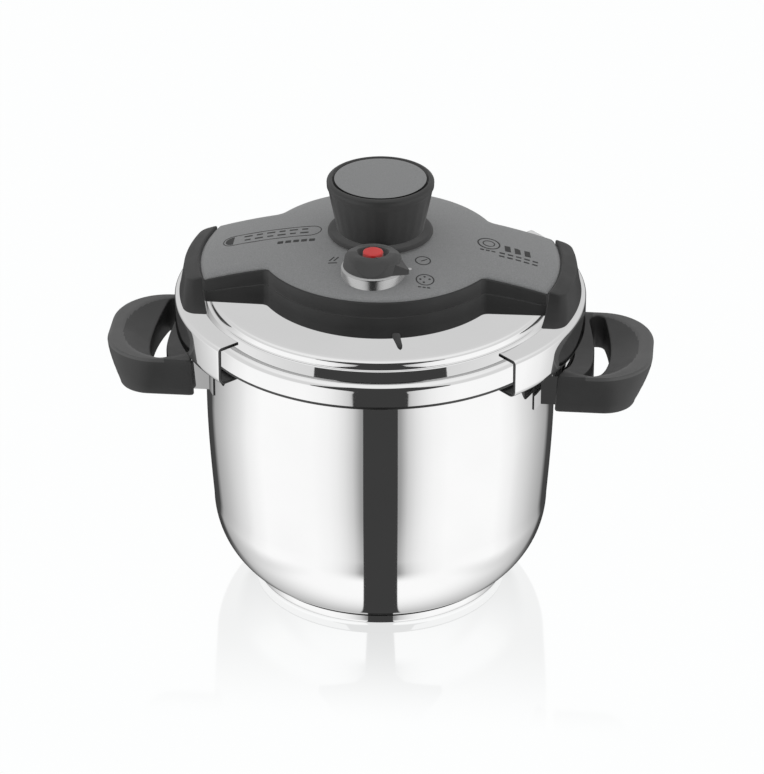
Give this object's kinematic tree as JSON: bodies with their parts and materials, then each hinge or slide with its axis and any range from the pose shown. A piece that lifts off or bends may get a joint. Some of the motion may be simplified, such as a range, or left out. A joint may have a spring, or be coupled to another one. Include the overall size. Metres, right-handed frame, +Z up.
{
  "type": "pressure cooker",
  "caption": "Stovetop pressure cooker: steel pot with two black side handles, clamp lid with central knob, sliding jaws, selector dial and pressure indicator.",
  "frame": {"origin": "middle of the flat base, at the surface that the cooker stands on", "axes": "+Z up through the knob; the two handles and the two jaws lie along X; the selector dial is towards -Y"},
  "size_m": [0.3464, 0.2364, 0.2762],
  "materials": {
    "polished_steel": "mirror polished stainless steel",
    "machined_steel": "turned and stamped steel",
    "aluminium_core": "raw",
    "black_bakelite": "fine matte moulded bakelite",
    "satin_grey_panel": "satin grey with a fine speckle",
    "silicone_seal": "matte silicone",
    "red_indicator": "gloss red"
  },
  "bodies": {
    "pot": {"pot_shell": "polished_steel", "base_core": "aluminium_core", "base_cap": "polished_steel", "handle_bracket_left": "polished_steel", "handle_bracket_right": "polished_steel", "handle_left": "black_bakelite", "handle_right": "black_bakelite", "handle_screw_left": "machined_steel", "handle_screw_right": "machined_steel"},
    "lid": {"lid_shell": "polished_steel", "lid_gasket": "silicone_seal", "center_post": "machined_steel", "post_nut": "machined_steel", "arm_guides": "machined_steel", "cover_screws": "machined_steel", "cover_base": "black_bakelite", "cover_upper": "black_bakelite", "top_panel": "satin_grey_panel", "knob_collar": "black_bakelite", "steam_spout": "black_bakelite", "valve_body": "machined_steel", "valve_nut": "machined_steel", "valve_bezel": "polished_steel", "safety_valve": "machined_steel", "safety_valve_nut": "machined_steel", "safety_valve_plug": "silicone_seal"},
    "knob": {"knob_shell": "black_bakelite", "knob_cap": "satin_grey_panel", "knob_sleeve": "machined_steel", "knob_screws": "machined_steel", "cam_disc": "machined_steel"},
    "jaw_left": {"jaw_left": "polished_steel", "jaw_arm_left": "machined_steel", "jaw_rivets_left": "machined_steel", "cam_pin_left": "machined_steel", "jaw_cap_left": "black_bakelite"},
    "jaw_right": {"jaw_right": "polished_steel", "jaw_arm_right": "machined_steel", "jaw_rivets_right": "machined_steel", "cam_pin_right": "machined_steel", "jaw_cap_right": "black_bakelite"},
    "dial": {"dial": "black_bakelite", "dial_pointer": "black_bakelite"},
    "indicator": {"indicator_stem": "machined_steel", "indicator_cap": "red_indicator", "indicator_seal": "silicone_seal"},
    "plunger": {"valve_plunger": "machined_steel", "valve_spring": "machined_steel"}
  },
  "joints": [
    {"name": "lid_lift", "type": "slide", "parent": "pot", "child": "lid", "axis": [0, 0, 1], "range_m": [0, 0.15]},
    {"name": "knob_turn", "type": "hinge", "parent": "lid", "child": "knob", "pos_m": [0, 0, 0.25], "axis": [0, 0, 1], "range_deg": [0, 90]},
    {"name": "jaw_left_slide", "type": "slide", "parent": "lid", "child": "jaw_left", "axis": [-1, 0, 0], "range_m": [0, 0.01]},
    {"name": "jaw_right_slide", "type": "slide", "parent": "lid", "child": "jaw_right", "axis": [1, 0, 0], "range_m": [0, 0.01]},
    {"name": "dial_turn", "type": "hinge", "parent": "lid", "child": "dial", "pos_m": [0, -0.0495, 0.24], "axis": [0, 0, 1], "range_deg": [-60, 60]},
    {"name": "indicator_rise", "type": "slide", "parent": "lid", "child": "indicator", "axis": [0, 0, 1], "range_m": [0, 0.004]},
    {"name": "plunger_lift", "type": "slide", "parent": "lid", "child": "plunger", "axis": [0, 0, 1], "range_m": [0, 0.002], "stiffness_N_per_m": 600, "springref_m": -0.002, "deforming": ["valve_spring"]}
  ],
  "couplings": [
    {"joint": "jaw_left_slide", "follows": "knob_turn", "m_per_rad": 0.0063662},
    {"joint": "jaw_right_slide", "follows": "knob_turn", "m_per_rad": 0.0063662}
  ]
}
